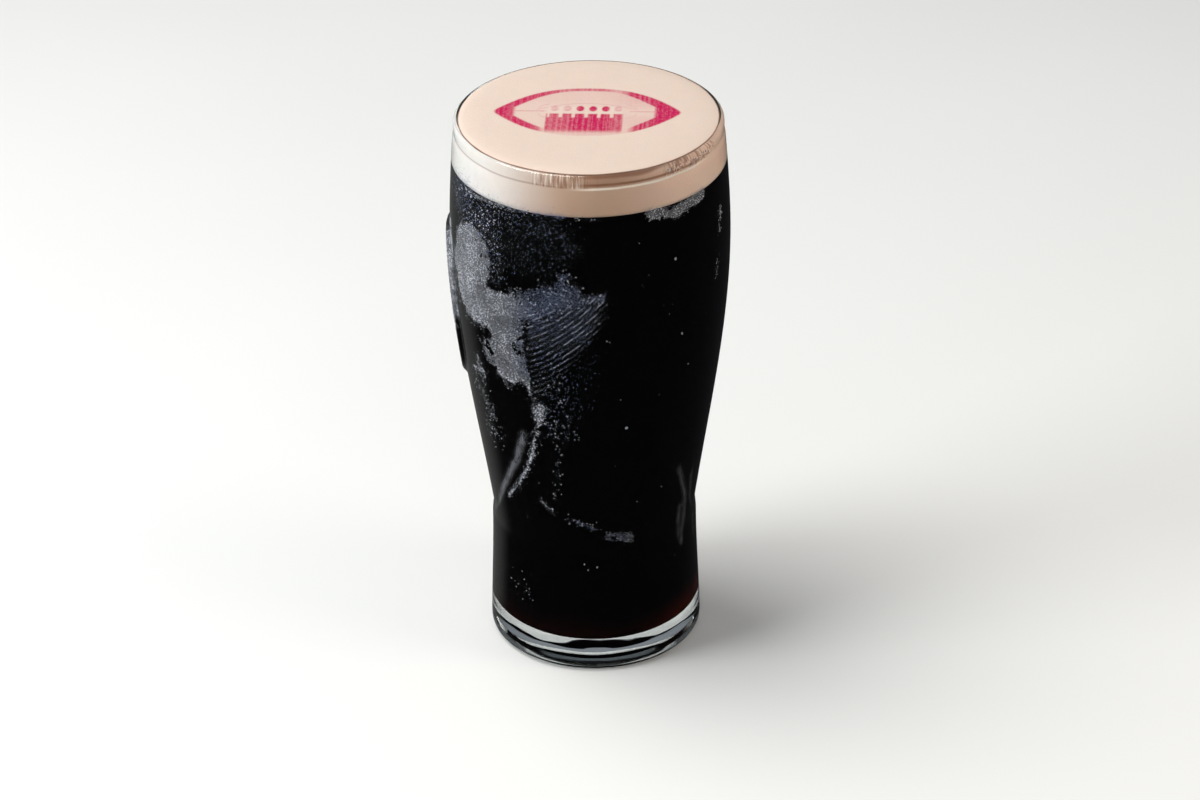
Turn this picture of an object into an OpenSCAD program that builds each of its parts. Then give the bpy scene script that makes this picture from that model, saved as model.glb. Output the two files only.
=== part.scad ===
// Pint of stout: a waisted pint glass with scooped sides, filled with stout under a domed cream head.
// Millimetres, +Z up. The origin is at the centre of the underside, on the table.

/* [Glass] */
// Height of the glass, from the table to the top of the lip
glass_h = 172; // [140:1:210]
// Radius of the foot, just above its rounded heel
foot_r = 32.4; // [27:0.1:39]
// Height of the waist, where the bowl meets the foot at the two sides
waist_z = 41; // [34:1:52]
// Radius of the bowl at the waist
waist_r = 30.4; // [25:0.1:36]
// How fast the bowl's radius grows just above the waist, in mm per mm of height
waist_flare = 0.13; // [0.05:0.01:0.2]
// Height of the belly, the widest place
belly_z = 135; // [112:1:135]
// Radius of the bowl at the belly
belly_r = 41.3; // [36:0.1:50]
// Radius of the bowl at the top of the lip
lip_r = 39.2; // [34:0.1:47]
// How fast the bowl's radius shrinks towards the lip, in mm per mm of height
lip_taper = 0.085; // [0:0.005:0.15]
// Thickness of the bowl's wall
wall = 2.6; // [1.8:0.1:3.5]

/* [Lip and base] */
// Depth of the groove under the lip's bead
neck_depth = 0.3; // [0:0.05:0.5]
// Height from the lip's top down to the middle of that groove
neck_drop = 3.6; // [3.4:0.1:6]
// Thickness of the solid base under the drink
base_t = 9.5; // [6:0.5:14]
// Thickness of the foot's wall
foot_wall = 3; // [2:0.1:5]
// Radius of the fillet round the floor of the inside
floor_fillet = 3; // [1:0.5:6]
// Radius of the rounded heel, where the foot meets the table
heel_r = 2.5; // [1:0.5:4]
// Depth of the hollow under the base
punt_depth = 1.2; // [0.5:0.1:2.5]
// Width of the ring that stands on the table
stand_ring_w = 5; // [3:0.5:8]

/* [Side scoops] */
// How far the foot's shoulder stands out from the bowl at the scoops
shoulder = 0.8; // [0.3:0.1:1.5]
// How fast a scoop's lower edge rises away from the waist, in mm per square mm
scoop_rise = 0.045; // [0.03:0.005:0.07]
// Height at which the shoulder has died away into the bowl
shoulder_top_z = 96; // [80:1:110]

/* [Raised pad] */
// Height of the plain raised pad on the left side
pad_h = 52; // [30:1:62]
// Width of the pad
pad_w = 26; // [16:1:28]
// Height of the pad's centre above the table
pad_z = 113; // [95:1:120]
// How far the pad stands out from the bowl
pad_proud = 1.2; // [0.5:0.1:2]
// Turn of the pad from the left side towards the back, in degrees
pad_turn = 6; // [0:1:20]

/* [Drink] */
// Height of the head on the wall, from the stout up to the top of the lip
head_h = 13; // [6:0.5:30]
// How far the head stands above the lip
dome_h = 1; // [1:0.1:5]
// Squareness of the dome: 2 is an ellipse, and more is flatter with a rounder edge
dome_power = 8; // [2:1:12]

/* [Hidden] */
$fn = 96;

STEP_Z = 6;         // height between the stations of a wall
NECK_STEP_Z = 0.6;  // the same in the groove under the lip
ARC_STEPS = 6;      // stations on a quarter round
DOME_STEPS = 14;    // stations from the dome's edge to its top
ARCH_STEP = 4;      // depth between the stations of a scoop's lower edge
NECK_SPREAD = 1.1;  // how far the groove reaches from its middle
FOOT_TAPER = 0.02;  // how fast the foot's radius shrinks just above the heel
MARGIN = 1;         // how far a cutter runs past what it cuts

lip_round = wall / 2;
lip_centre_z = glass_h - lip_round;
neck_z = glass_h - neck_drop;
neck_low_z = neck_z - 2 * NECK_SPREAD;
stout_top_z = glass_h - head_h;
floor_side_z = base_t + floor_fillet;

// Cubic from (z0, r0), left with slope s0, to (z1, r1), reached with slope s1.
function cubic(z, z0, r0, s0, z1, r1, s1) =
    let (t = (z - z0) / (z1 - z0), d = z1 - z0)
    r0 * (2 * t ^ 3 - 3 * t ^ 2 + 1) + s0 * d * (t ^ 3 - 2 * t ^ 2 + t)
    + r1 * (3 * t ^ 2 - 2 * t ^ 3) + s1 * d * (t ^ 3 - t ^ 2);

// Radius of the outside of the bowl, without the groove under the lip. Below the waist it is a hidden cone.
function bowl_r(z) =
    z < waist_z ? waist_r - waist_flare * (waist_z - z)
    : z < belly_z ? cubic(z, waist_z, waist_r, waist_flare, belly_z, belly_r, 0)
    : cubic(z, belly_z, belly_r, 0, glass_h, lip_r, -lip_taper);

// Depth of the groove under the lip.
function neck(z) = neck_depth * exp(-((z - neck_z) / NECK_SPREAD) ^ 2);

// Share of the shoulder that is left at a height: all at the waist, none at its top.
function shoulder_left(z) =
    let (t = min(1, (z - waist_z) / (shoulder_top_z - waist_z)))
    1 - t * t * (3 - 2 * t);

// Radius of the foot, and of the shoulder that it carries up the front and the back.
function foot_profile_r(z) =
    z < waist_z ? cubic(z, heel_r, foot_r, -FOOT_TAPER, waist_z, waist_r + shoulder, 0)
    : bowl_r(z) + shoulder * shoulder_left(z);

// Radius of the inside.
function inside_r(z) =
    z < waist_z ? cubic(z, base_t, foot_r - foot_wall, -FOOT_TAPER, waist_z, waist_r - wall, waist_flare)
    : bowl_r(z) - wall;

// Radius of the circle that the crest of the lip follows.
lip_crest_r = bowl_r(lip_centre_z) - lip_round;

// Heights from z0 to z1, both included, about a step apart.
function stations(z0, z1, step = STEP_Z) =
    let (n = max(1, round((z1 - z0) / step)))
    [for (i = [0:n]) z0 + (z1 - z0) * i / n];

// Points on a round about (r, z), from angle a0 to a1.
function round_points(r, z, radius, a0, a1) =
    [for (i = [0:ARC_STEPS]) let (a = a0 + (a1 - a0) * i / ARC_STEPS)
        [r + radius * cos(a), z + radius * sin(a)]];

// A list without its first item, so that two stretches of an outline can share a point.
function tail(list) = [for (i = [1:len(list) - 1]) list[i]];

// The wall of the inside between two heights.
function inside_wall(z0, z1) = [for (z = stations(z0, z1)) [inside_r(z), z]];

// The inside from the centre of its floor up to the top of the stout.
function stout_side() =
    concat(
        [[0, base_t]],
        round_points(inside_r(floor_side_z) - floor_fillet, floor_side_z, floor_fillet, -90, 0),
        tail(inside_wall(floor_side_z, stout_top_z)));

// The inside from the top of the stout up to the lip, and over the lip's inner half to its crest.
function head_side() =
    concat(
        inside_wall(stout_top_z, lip_centre_z),
        tail(round_points(lip_crest_r, lip_centre_z, lip_round, 180, 90)));

// The outside of the bowl, from within the foot up over the groove and the lip's outer half.
function bowl_outside() =
    concat(
        [for (z = stations(heel_r, neck_low_z)) [bowl_r(z), z]],
        [for (z = tail(stations(neck_low_z, lip_centre_z, NECK_STEP_Z))) [bowl_r(z) - neck(z), z]],
        tail(round_points(lip_crest_r, lip_centre_z, lip_round, 0, 90)));

// The hollow under the base, out to the ring that stands on the table.
function punt() =
    let (r = foot_r - heel_r - stand_ring_w)
    [[0, punt_depth], [r - punt_depth, punt_depth], [r, 0]];

module bowl_solid() {
    rotate_extrude() polygon(concat([[0, heel_r]], bowl_outside(), [[0, glass_h]]));
}

module foot_solid() {
    rotate_extrude() polygon(concat(
        punt(),
        round_points(foot_r - heel_r, heel_r, heel_r, -90, 0),
        [for (z = tail(stations(heel_r, waist_z))) [foot_profile_r(z), z]],
        [for (z = tail(stations(waist_z, shoulder_top_z))) [foot_profile_r(z), z]],
        [[0, shoulder_top_z]]));
}

// Everything under the arched lower edges of the two side scoops.
module under_scoops() {
    reach = (ceil(foot_profile_r(shoulder_top_z) / ARCH_STEP) + 1) * ARCH_STEP;
    rotate([90, 0, 90])
        linear_extrude(height = 2 * reach, center = true)
            polygon(concat(
                [[reach, -MARGIN], [-reach, -MARGIN]],
                [for (y = [-reach:ARCH_STEP:reach]) [y, waist_z + scoop_rise * y * y]]));
}

// A long oval, round at both ends.
module long_oval(length, width) {
    square([length - width, width], center = true);
    for (side = [-1, 1])
        translate([side * (length - width) / 2, 0]) circle(d = width);
}

// The pad has the bowl's own shape, a little larger, and the outline of a long oval.
module pad() {
    z0 = pad_z - pad_h / 2 - MARGIN;
    z1 = pad_z + pad_h / 2 + MARGIN;
    intersection() {
        rotate_extrude()
            polygon(concat([[0, z0]], [for (z = stations(z0, z1)) [bowl_r(z) + pad_proud, z]], [[0, z1]]));
        rotate([0, 0, -pad_turn]) translate([-belly_r - pad_proud - MARGIN, 0, pad_z]) rotate([0, 90, 0])
            linear_extrude(height = belly_r) long_oval(pad_h, pad_w);
    }
}

module inside_solid() {
    rotate_extrude() polygon(concat(
        stout_side(),
        tail(head_side()),
        [[lip_crest_r, glass_h + MARGIN], [0, glass_h + MARGIN]]));
}

module glass() {
    color([0.85, 0.9, 0.9, 0.35]) difference() {
        union() {
            bowl_solid();
            pad();
            intersection() {
                foot_solid();
                under_scoops();
            }
        }
        inside_solid();
    }
}

module stout() {
    color([0.05, 0.02, 0.015]) rotate_extrude() polygon(concat(stout_side(), [[0, stout_top_z]]));
}

// The head fills the glass from the stout to the lip, lies on the lip's inner half and domes above it.
module head() {
    color([0.93, 0.84, 0.77]) rotate_extrude() polygon(concat(
        [[0, stout_top_z]],
        head_side(),
        [for (i = [1:DOME_STEPS]) let (a = 90 * (1 - i / DOME_STEPS))
            [lip_crest_r * pow(sin(a), 2 / dome_power), glass_h + dome_h * cos(a)]]));
}

glass();
stout();
head();
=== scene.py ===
"""Pint of stout: the glass, the stout, the printed head and the condensation, laid out as an add-on.

The surface functions work in millimetres; add_piece puts them into meshes in metres.
phi is the angle round the glass in radians: 0 at its front (-Y), growing towards its right side (+X)."""
import math
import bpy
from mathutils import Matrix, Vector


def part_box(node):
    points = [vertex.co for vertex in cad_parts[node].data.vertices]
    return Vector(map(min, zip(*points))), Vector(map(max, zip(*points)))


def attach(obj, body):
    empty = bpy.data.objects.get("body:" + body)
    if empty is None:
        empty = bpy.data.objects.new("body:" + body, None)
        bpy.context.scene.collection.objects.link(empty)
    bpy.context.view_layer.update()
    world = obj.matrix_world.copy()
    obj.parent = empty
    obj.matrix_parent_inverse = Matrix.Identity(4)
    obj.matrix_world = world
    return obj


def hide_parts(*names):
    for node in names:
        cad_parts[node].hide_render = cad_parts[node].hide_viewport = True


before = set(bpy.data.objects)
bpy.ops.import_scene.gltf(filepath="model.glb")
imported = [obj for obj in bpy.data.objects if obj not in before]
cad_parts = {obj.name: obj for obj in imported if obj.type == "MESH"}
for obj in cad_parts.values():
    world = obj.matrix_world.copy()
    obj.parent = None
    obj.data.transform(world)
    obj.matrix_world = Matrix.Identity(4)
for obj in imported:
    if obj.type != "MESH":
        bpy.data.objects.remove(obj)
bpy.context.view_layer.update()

from types import SimpleNamespace

import bpy
import numpy as np
from bpy.props import FloatProperty, FloatVectorProperty, IntProperty, PointerProperty
from mathutils import Matrix, Vector

bl_info = {
    "name": "Pint of Stout",
    "version": (1, 0, 0),
    "blender": (4, 5, 0),
    "location": "View3D > Sidebar > Stout",
    "description": "Builds a pint of stout with a printed cream head and a misted glass",
    "category": "Add Mesh",
}

MM = 0.001
GLASS_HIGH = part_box("glass")[1]
STOUT_LOW, STOUT_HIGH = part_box("stout")
HEAD_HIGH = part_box("head")[1]
# Millimetres along the wall for one degree round the glass, about.
DEGREE = 0.7
# The left edge of the patch that a cloth has wiped, in millimetres along the wall from the front.
WIPE_LEFT = -18.9
# Radius of the innermost ring of the drink's flat faces, in millimetres.
CORE = 18.0


def length(name, default, description):
    """A size in metres, shown in the scene's own unit."""
    kind = {"unit": "LENGTH", "subtype": "DISTANCE", "precision": 5}
    return FloatProperty(name=name, description=description, default=default, **kind)


def angle(name, degrees, description):
    """An angle, given in degrees."""
    return FloatProperty(name=name, description=description, default=math.radians(degrees), subtype="ANGLE")


def factor(name, default, description, low=0.0, high=1.0):
    """A plain number with soft limits."""
    return FloatProperty(name=name, description=description, default=default, soft_min=low, soft_max=high)


def colour(name, default, thing):
    """The linear colour of a thing."""
    kind = {"size": 3, "subtype": "COLOR", "min": 0.0, "max": 1.0}
    return FloatVectorProperty(name=name, description="Colour of " + thing, default=default, **kind)


# ---- settings


class StoutGlassSettings(bpy.types.PropertyGroup):
    height: length("Height", GLASS_HIGH.z, "Height of the lip's top")
    foot_radius: length("Foot radius", 0.0324, "Radius just above the rounded heel")
    foot_wall: length("Foot wall", 0.003, "Thickness of the foot's wall")
    heel: length("Heel radius", 0.0025, "Radius of the rounded heel")
    punt: length("Punt", 0.0012, "Depth of the hollow under the base")
    ring: length("Standing ring", 0.005, "Width of the ring it stands on")
    base: length("Base", STOUT_LOW.z, "Thickness of the solid base")
    floor_fillet: length("Floor fillet", 0.003, "Radius of the fillet round the floor")
    waist_height: length("Waist height", 0.041, "Height where bowl and foot meet")
    waist_radius: length("Waist radius", 0.0304, "Radius of the bowl at the waist")
    waist_flare: factor("Waist flare", 0.13, "Growth of the radius above the waist", 0.05, 0.2)
    belly_height: length("Belly height", 0.135, "Height of the widest place")
    belly_radius: length("Belly radius", GLASS_HIGH.x, "Radius at the widest place")
    lip_radius: length("Lip radius", 0.0392, "Radius at the top of the lip")
    lip_taper: factor("Lip taper", 0.085, "Shrinking of the radius at the lip", 0.0, 0.15)
    wall: length("Wall", 0.0026, "Thickness of the bowl's wall")
    neck_depth: length("Neck depth", 0.0003, "Depth of the groove under the bead")
    neck_drop: length("Neck drop", 0.0036, "From the lip's top to the groove")
    shoulder: length("Shoulder", 0.0008, "How far the foot stands out at the scoops")
    shoulder_top: length("Shoulder top", 0.096, "Height where the shoulder ends")
    scoop_rise: factor("Scoop rise", 0.045, "Rise of a scoop's edge, mm per square mm", 0.03, 0.07)
    edge_softness: length("Edge softness", 0.0010, "Half width of the step at a scoop's edge")
    pad_height: length("Pad height", 0.052, "Height of the raised pad")
    pad_width: length("Pad width", 0.026, "Width of the raised pad")
    pad_middle: length("Pad middle", 0.113, "Height of the pad's centre")
    pad_proud: length("Pad relief", 0.0012, "How far the pad stands out")
    pad_angle: angle("Pad angle", -96, "Place of the pad round the glass")
    tint: colour("Glass tint", (0.97, 0.985, 0.98), "the clear glass")
    # Partly painted shade: the base is tinted darker, partly as thick glass is and partly to dim the bright
    # floor that it refracts.
    base_tint: colour("Base tint", (0.70, 0.74, 0.74), "the thick glass of the base")
    mist: colour("Mist", (0.76, 0.79, 0.86), "the mist on the glass")
    # Painted reflection: the thin film's blue stands in for cool light that the fine beads reflect.
    dew: colour("Dew", (0.44, 0.52, 0.82), "the thin dew under the head")
    wipe_pitch: length("Wipe pitch", 0.0019, "Height between the wiped lines")
    columns: IntProperty(name="Columns", description="Mesh columns round the glass", default=320, min=64)


class StoutDrinkSettings(bpy.types.PropertyGroup):
    reach: length("Reach", 0.00015, "How far the drink reaches into the wall")
    line: length("Stout line", STOUT_HIGH.z, "Height of the stout's surface")
    dome_top: length("Dome top", HEAD_HIGH.z, "Height of the head's top")
    dome_edge: length("Dome edge", 0.1718, "Height where the dome's rounded edge starts")
    dome_radius: length("Dome radius", 0.03805, "Radius of the dome's edge on the lip")
    dome_power: factor("Dome squareness", 8.0, "2 is an ellipse, more is flatter", 2.0, 12.0)
    print_length: length("Print length", 0.0553, "Length of the printed ball, tip to tip")
    print_width: length("Print width", 0.0316, "Width of the printed ball")
    print_x: length("Print X", -0.00035, "Place of the print's centre")
    print_y: length("Print Y", 0.00085, "Place of the print's centre")
    print_turn: angle("Print turn", -3.2, "Turn of the print on the head")
    stout: colour("Stout", (0.0012, 0.0010, 0.0010), "the deep stout")
    # Painted glow: the ruby that light shining through the stout low in the glass would show.
    ruby_glow: colour("Ruby edge", (0.060, 0.009, 0.003), "the stout low in the glass")
    cream: colour("Cream", (0.64, 0.515, 0.43), "the head's top")
    tan: colour("Tan", (0.61, 0.415, 0.295), "the head behind the glass, at the front")
    # Painted light: the head's side is painted paler at the left, where the lamps light it.
    pale: colour("Pale side", (1.0, 0.96, 0.92), "the head behind the glass, at the left")
    # Painted light: the head's side is painted brighter at the right, where the right lamp lights it.
    lit_right_side: colour("Warm side", (0.98, 0.73, 0.59), "the head behind the glass, at the right")
    # Painted shade: the dark ring where the head's edge meets the lip.
    shaded: colour("Wet edge", (0.17, 0.085, 0.05), "the head's wet edge on the lip")
    # Painted refraction: the dark lines that the lip's bead shows, painted on the head's side.
    brown: colour("Wet foam", (0.25, 0.080, 0.025), "the wet lines behind the lip")
    ink: colour("Ink", (0.45, 0.002, 0.07), "the printed ball")


class StoutDropSettings(bpy.types.PropertyGroup):
    bead_pitch: length("Bead pitch", 0.00075, "Spacing of the mist's beads")
    bead_radius: length("Bead radius", 0.00018, "Mean radius of the mist's beads")
    fine_pitch: length("Fine pitch", 0.00055, "Spacing of the fine beads")
    fine_radius: length("Fine radius", 0.00010, "Mean radius of the fine beads")
    drop_radius: length("Drop radius", 0.00055, "Mean radius of the loose drops")
    water: colour("Water", (0.80, 0.84, 0.90), "the beads")
    # Painted reflection: the fine beads' blue stands in for cool light that they reflect.
    fine_water_blue_sheen: colour("Cool water", (0.42, 0.50, 0.82), "the fine beads under the head")
    seed: IntProperty(name="Seed", description="Seed of the beads' scatter", default=11, min=0)


class StoutStageSettings(bpy.types.PropertyGroup):
    floor: colour("Floor", (0.72, 0.72, 0.70), "the plain pale floor")
    floor_radius: length("Floor radius", 6.0, "Radius of the floor")
    distance: length("Camera distance", 1.1, "From the camera to the middle of the glass")
    elevation: angle("Elevation", 29.75, "Camera's height angle")
    roll: angle("Roll", 0.8, "Camera's roll")
    focal: FloatProperty(name="Focal length", description="Camera's lens", default=109.58, unit="CAMERA")


SETTINGS = {
    "stout_glass": StoutGlassSettings,
    "stout_drink": StoutDrinkSettings,
    "stout_drops": StoutDropSettings,
    "stout_stage": StoutStageSettings,
}


def in_mm(group):
    """One group of the scene's settings, with every length in millimetres."""
    settings = getattr(bpy.context.scene, group)
    values = {}
    for key in SETTINGS[group].__annotations__:
        value = getattr(settings, key)
        values[key] = value / MM if settings.bl_rna.properties[key].unit == "LENGTH" else value
    return SimpleNamespace(**values)


# ---- curves of the glass


def smooth(low, high, x):
    """3t^2 - 2t^3, where t is the share of the way from low to high, held within 0 and 1."""
    t = np.clip((x - low) / (high - low), 0.0, 1.0)
    return t * t * (3 - 2 * t)


def cubic(z, z0, r0, s0, z1, r1, s1):
    """The cubic from (z0, r0), left with slope s0, to (z1, r1), reached with slope s1."""
    d = z1 - z0
    t = (z - z0) / d
    return (
        r0 * (2 * t**3 - 3 * t**2 + 1)
        + s0 * d * (t**3 - 2 * t**2 + t)
        + r1 * (3 * t**2 - 2 * t**3)
        + s1 * d * (t**3 - t**2)
    )


def bowl_radius(z, g):
    """The bowl without its groove: cubics from waist to belly and from belly to lip, and a cone below."""
    low = g.waist_radius - g.waist_flare * (g.waist_height - z)
    middle = cubic(z, g.waist_height, g.waist_radius, g.waist_flare, g.belly_height, g.belly_radius, 0.0)
    high = cubic(z, g.belly_height, g.belly_radius, 0.0, g.height, g.lip_radius, -g.lip_taper)
    return np.where(z < g.waist_height, low, np.where(z < g.belly_height, middle, high))


def foot_radius(z, g):
    """The foot: a cubic from heel to waist, then the bowl plus a shoulder that dies away upwards."""
    low = cubic(z, g.heel, g.foot_radius, -0.02, g.waist_height, g.waist_radius + g.shoulder, 0.0)
    left = 1 - smooth(g.waist_height, g.shoulder_top, z)
    return np.where(z < g.waist_height, low, bowl_radius(z, g) + g.shoulder * left)


def inside_radius(z, g):
    """The inside: the bowl less its wall, and a cubic down to the floor within the foot."""
    floor_r, waist_r = g.foot_radius - g.foot_wall, g.waist_radius - g.wall
    low = cubic(z, g.base, floor_r, -0.02, g.waist_height, waist_r, g.waist_flare)
    return np.where(z < g.waist_height, low, bowl_radius(z, g) - g.wall)


def pad_relief(phi, z, g):
    """The raised pad: a smooth step across the outline of a long oval, laid on the wall."""
    across = g.belly_radius * (np.mod(phi - g.pad_angle + math.pi, 2 * math.pi) - math.pi)
    beyond = np.maximum(np.abs(z - g.pad_middle) - (g.pad_height - g.pad_width) / 2, 0.0)
    outside = np.hypot(across, beyond) - g.pad_width / 2
    return g.pad_proud * smooth(0.6, -1.6, outside)


def outside_radius(phi, z, g):
    """The bowl less its groove, plus the pad, and under the two arched scoop edges the foot instead.
    An arched edge is the parabola z = waist + rise * y^2, and the step across it is smooth."""
    groove = g.neck_depth * np.exp(-(((z - (g.height - g.neck_drop)) / 1.1) ** 2))
    bowl = bowl_radius(z, g) - groove + pad_relief(phi, z, g)
    foot = foot_radius(z, g)
    y = foot * np.cos(phi)
    below = (g.waist_height + g.scoop_rise * y**2 - z) / np.sqrt(1 + (2 * g.scoop_rise * y) ** 2)
    return bowl + np.maximum(foot - bowl, 0.0) * smooth(-g.edge_softness, g.edge_softness, below)


def arc(r, z, radius, start, end, steps):
    """Points on a round about (r, z) from one angle to another, in degrees, both ends included."""
    a = np.radians(np.linspace(start, end, steps))
    return np.stack([r + radius * np.cos(a), z + radius * np.sin(a)], 1)


def polar(radius, phi, z):
    """(radius sin phi, -radius cos phi, z), the place of points round the glass."""
    radius, phi, z = np.broadcast_arrays(radius, phi, z)
    return np.stack([radius * np.sin(phi), -radius * np.cos(phi), z], -1)


def wall_frame(phi, z, g):
    """Points on the outer wall and the unit vectors round, up and out of it, by small differences."""
    step = 0.05
    here = polar(outside_radius(phi, z, g), phi, z)
    turn = step / g.belly_radius
    around = polar(outside_radius(phi + turn, z, g), phi + turn, z) - here
    up = polar(outside_radius(phi, z + step, g), phi, z + step) - here
    around /= np.linalg.norm(around, axis=-1, keepdims=True)
    up -= around * (around * up).sum(-1, keepdims=True)
    up /= np.linalg.norm(up, axis=-1, keepdims=True)
    return here, around, up, np.cross(around, up)


# ---- meshes


def add_object(name, data):
    """A new object in the scene, at the origin."""
    thing = bpy.data.objects.new(name, data)
    bpy.context.scene.collection.objects.link(thing)
    return thing


def add_piece(name, points, quads, tris, slot, material, stands_for=(), attributes=None):
    """Makes a smooth mesh from points in millimetres and lets it ride on the one body. The slot is not
    used.
    """
    mesh = bpy.data.meshes.new(name)
    mesh.from_pydata(points * MM, [], [*quads.tolist(), *tris.tolist()])
    if mesh.validate():
        raise ValueError(f"{name}: the mesh had faces that Blender had to remove")
    mesh.shade_smooth()
    for key, values in (attributes or {}).items():
        layer = mesh.attributes.new(key, "FLOAT", "POINT")
        layer.data.foreach_set("value", values.astype(np.float32))
    mesh.materials.append(material)
    piece = add_object(name, mesh)
    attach(piece, "root")
    if stands_for:
        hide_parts(*stands_for)


def revolved_faces(rows, columns, first=0):
    """Quads between neighbouring closed rings, numbered row by row."""
    i, j = np.meshgrid(np.arange(rows - 1) * columns, np.arange(columns), indexing="ij")
    k = (j + 1) % columns
    return np.stack([i + j, i + k, i + columns + k, i + columns + j], -1).reshape(-1, 4) + first


def fan(ring, pole):
    """Triangles from a closed ring to a pole, on the ring's left as it runs."""
    return np.stack([ring, np.roll(ring, -1), np.full(len(ring), pole)], 1)


def round_angles(columns):
    """The angle of each of the mesh's columns round the glass."""
    return np.arange(columns) * 2 * math.pi / columns


def revolved_mesh(rings, z_first, z_last):
    """Points and faces of a closed skin: rings (rows, columns, 3) from its lower pole to its upper."""
    rows, columns = rings.shape[:2]
    count = rows * columns
    points = np.concatenate([rings.reshape(-1, 3), [[0, 0, z_first], [0, 0, z_last]]])
    low = fan(np.arange(columns)[::-1], count)
    high = fan(np.arange(count - columns, count), count + 1)
    return points, revolved_faces(rows, columns), np.concatenate([low, high])


# ---- mist and beads on the wall

# Each stroke of mist: points (degrees round, height in mm), its half width in mm, and its strength.
SHEETS = (
    (((-57, 140), (-61, 133), (-58, 126)), 9.0, 1.0),
    (((-57, 125), (-39, 124)), 7.5, 1.0),
    (((-39, 124), (-37, 108)), 6.2, 1.0),
    (((-34, 127.5), (-20, 131.5), (-11, 134.5)), 4.9, 1.0),
    (((-11, 136), (-11, 141)), 1.4, 0.9),
    (((-6, 132.8), (4, 134.2)), 1.7, 0.85),
    (((-33, 107), (-26, 103), (-24, 97), (-24, 91)), 2.4, 1.0),
    (((-48, 110), (-38, 104)), 3.4, 1.0),
)
TRAILS = (
    (((-24, 91), (-27, 84), (-30, 77), (-35, 70)), 1.2, 0.70),
    (((-35, 70), (-41, 63), (-50, 57)), 1.1, 0.68),
    (((-20, 89), (-17, 84), (-16, 77), (-18, 70), (-20, 62)), 0.9, 0.48),
    (((-28, 60), (-21, 56)), 0.9, 0.62),
    (((-13, 55), (1, 51)), 1.1, 0.62),
    (((8, 48.2), (19, 46.8)), 1.7, 0.90),
    (((-59, 104), (-55, 99), (-63, 99)), 2.2, 0.55),
)
LINE_BAND = (
    (((-62, 158.6), (-44, 159.3), (-30, 159.5), (-10, 159.6)), 0.7, 0.85),
    (((-6, 159.2), (3, 159)), 0.6, 0.7),
    (((25, 158.6), (38, 157.2), (52, 158.8)), 1.9, 0.95),
    (((67, 150), (65, 143)), 1.2, 0.6),
    (((64, 135), (62, 130)), 1.2, 0.55),
)
FAINT = (
    (((-50, 27), (-42, 23)), 4.0, 0.10),
    (((-60, 96), (-55, 86), (-54, 78)), 4.0, 0.42),
    (((-20, 90), (-12, 87)), 4.0, 0.31),
    (((-15, 103), (-13, 94)), 3.0, 0.30),
)
# The pad's rim, which mist covers too.
PAD_MIST = ((((-84, 138), (-82, 124), (-84, 108)), 3.2, 0.9),)
# The wall under the head that carries only a thin dew and fine beads.
DEW = (
    (((-66, 157), (-50, 152)), 6.5, 1.0),
    (((-43, 158), (-43, 138)), 2.2, 1.0),
    (((-38, 157), (-20, 155)), 3.0, 0.6),
    (((-34, 147), (-18, 148)), 6.0, 0.22),
    (((-16, 156), (-10, 151)), 3.0, 0.35),
)
# Painted highlights: pale streaks of film where the scoops' creases and the pad's rim catch the light.
PAINTED_GLINTS = (
    (((-34, 83), (-40, 73), (-50, 63), (-64, 51)), 1.0, 0.26),
    (((48, 66), (56, 55), (58, 44), (57, 37)), 0.8, 0.14),
    (((62, 60), (67, 47)), 0.6, 0.12),
    (((73, 42), (75, 34)), 0.7, 0.14),
    (((52, 51), (54, 40)), 0.6, 0.12),
    (((-83, 141), (-80, 134)), 2.2, 0.9),
    (((-80, 130), (-78, 112)), 1.2, 0.6),
)
# The right edge of the wiped patch, where fine beads are left.
WIPE_EDGE = ((((-14, 110), (-13, 100), (-16, 90)), 5.5, 1.0),)
MIST_FIELDS = ("mist", "depth", "dew", "raked", "rake", "haze")


def along_wall(phi):
    """Millimetres along the wall from the glass's front."""
    return np.degrees(phi) * DEGREE


def strokes_field(phi, z, strokes, softness):
    """The strongest stroke at each point: its strength, fading over the softness across its half width.
    A stroke is a chain of straight pieces on the unrolled wall, and the nearest piece counts."""
    across = along_wall(phi)
    best = np.zeros(np.broadcast(across, z).shape)
    for chain, half, strength in strokes:
        corners = np.array(chain, float) * (DEGREE, 1.0)
        nearest = np.full(best.shape, 1e9)
        for start, end in zip(corners[:-1], corners[1:]):
            run = end - start
            t = np.clip(((across - start[0]) * run[0] + (z - start[1]) * run[1]) / (run @ run), 0, 1)
            gap = np.hypot(across - start[0] - t * run[0], z - start[1] - t * run[1])
            nearest = np.minimum(nearest, gap)
        best = np.maximum(best, strength * smooth(half + softness, half - softness, nearest))
    return best


def ripple(a, b, size, seed):
    """Smooth noise from 0 to 1: the mean of eight sine waves of random heading, with about that size."""
    rng = np.random.default_rng(seed)
    total = 0
    for heading, phase, stretch in rng.random((8, 3)):
        turn = heading * 2 * math.pi
        wave = (a * math.cos(turn) + b * math.sin(turn)) * 2 * math.pi / (size * (0.7 + stretch))
        total = total + np.sin(wave + phase * 2 * math.pi)
    return np.clip(0.5 + total / 8, 0, 1)


def wiped_share(phi, z):
    """1 inside the patch that a cloth has wiped through the mist, 0 outside it."""
    across = along_wall(phi)
    sides = smooth(-19.6, -18.4, across) * smooth(2.5, -0.5, across)
    top = 125.0 + 0.38 * (across - WIPE_LEFT)
    return sides * smooth(top + 1.0, top - 1.0, z) * smooth(94, 99, z)


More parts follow.
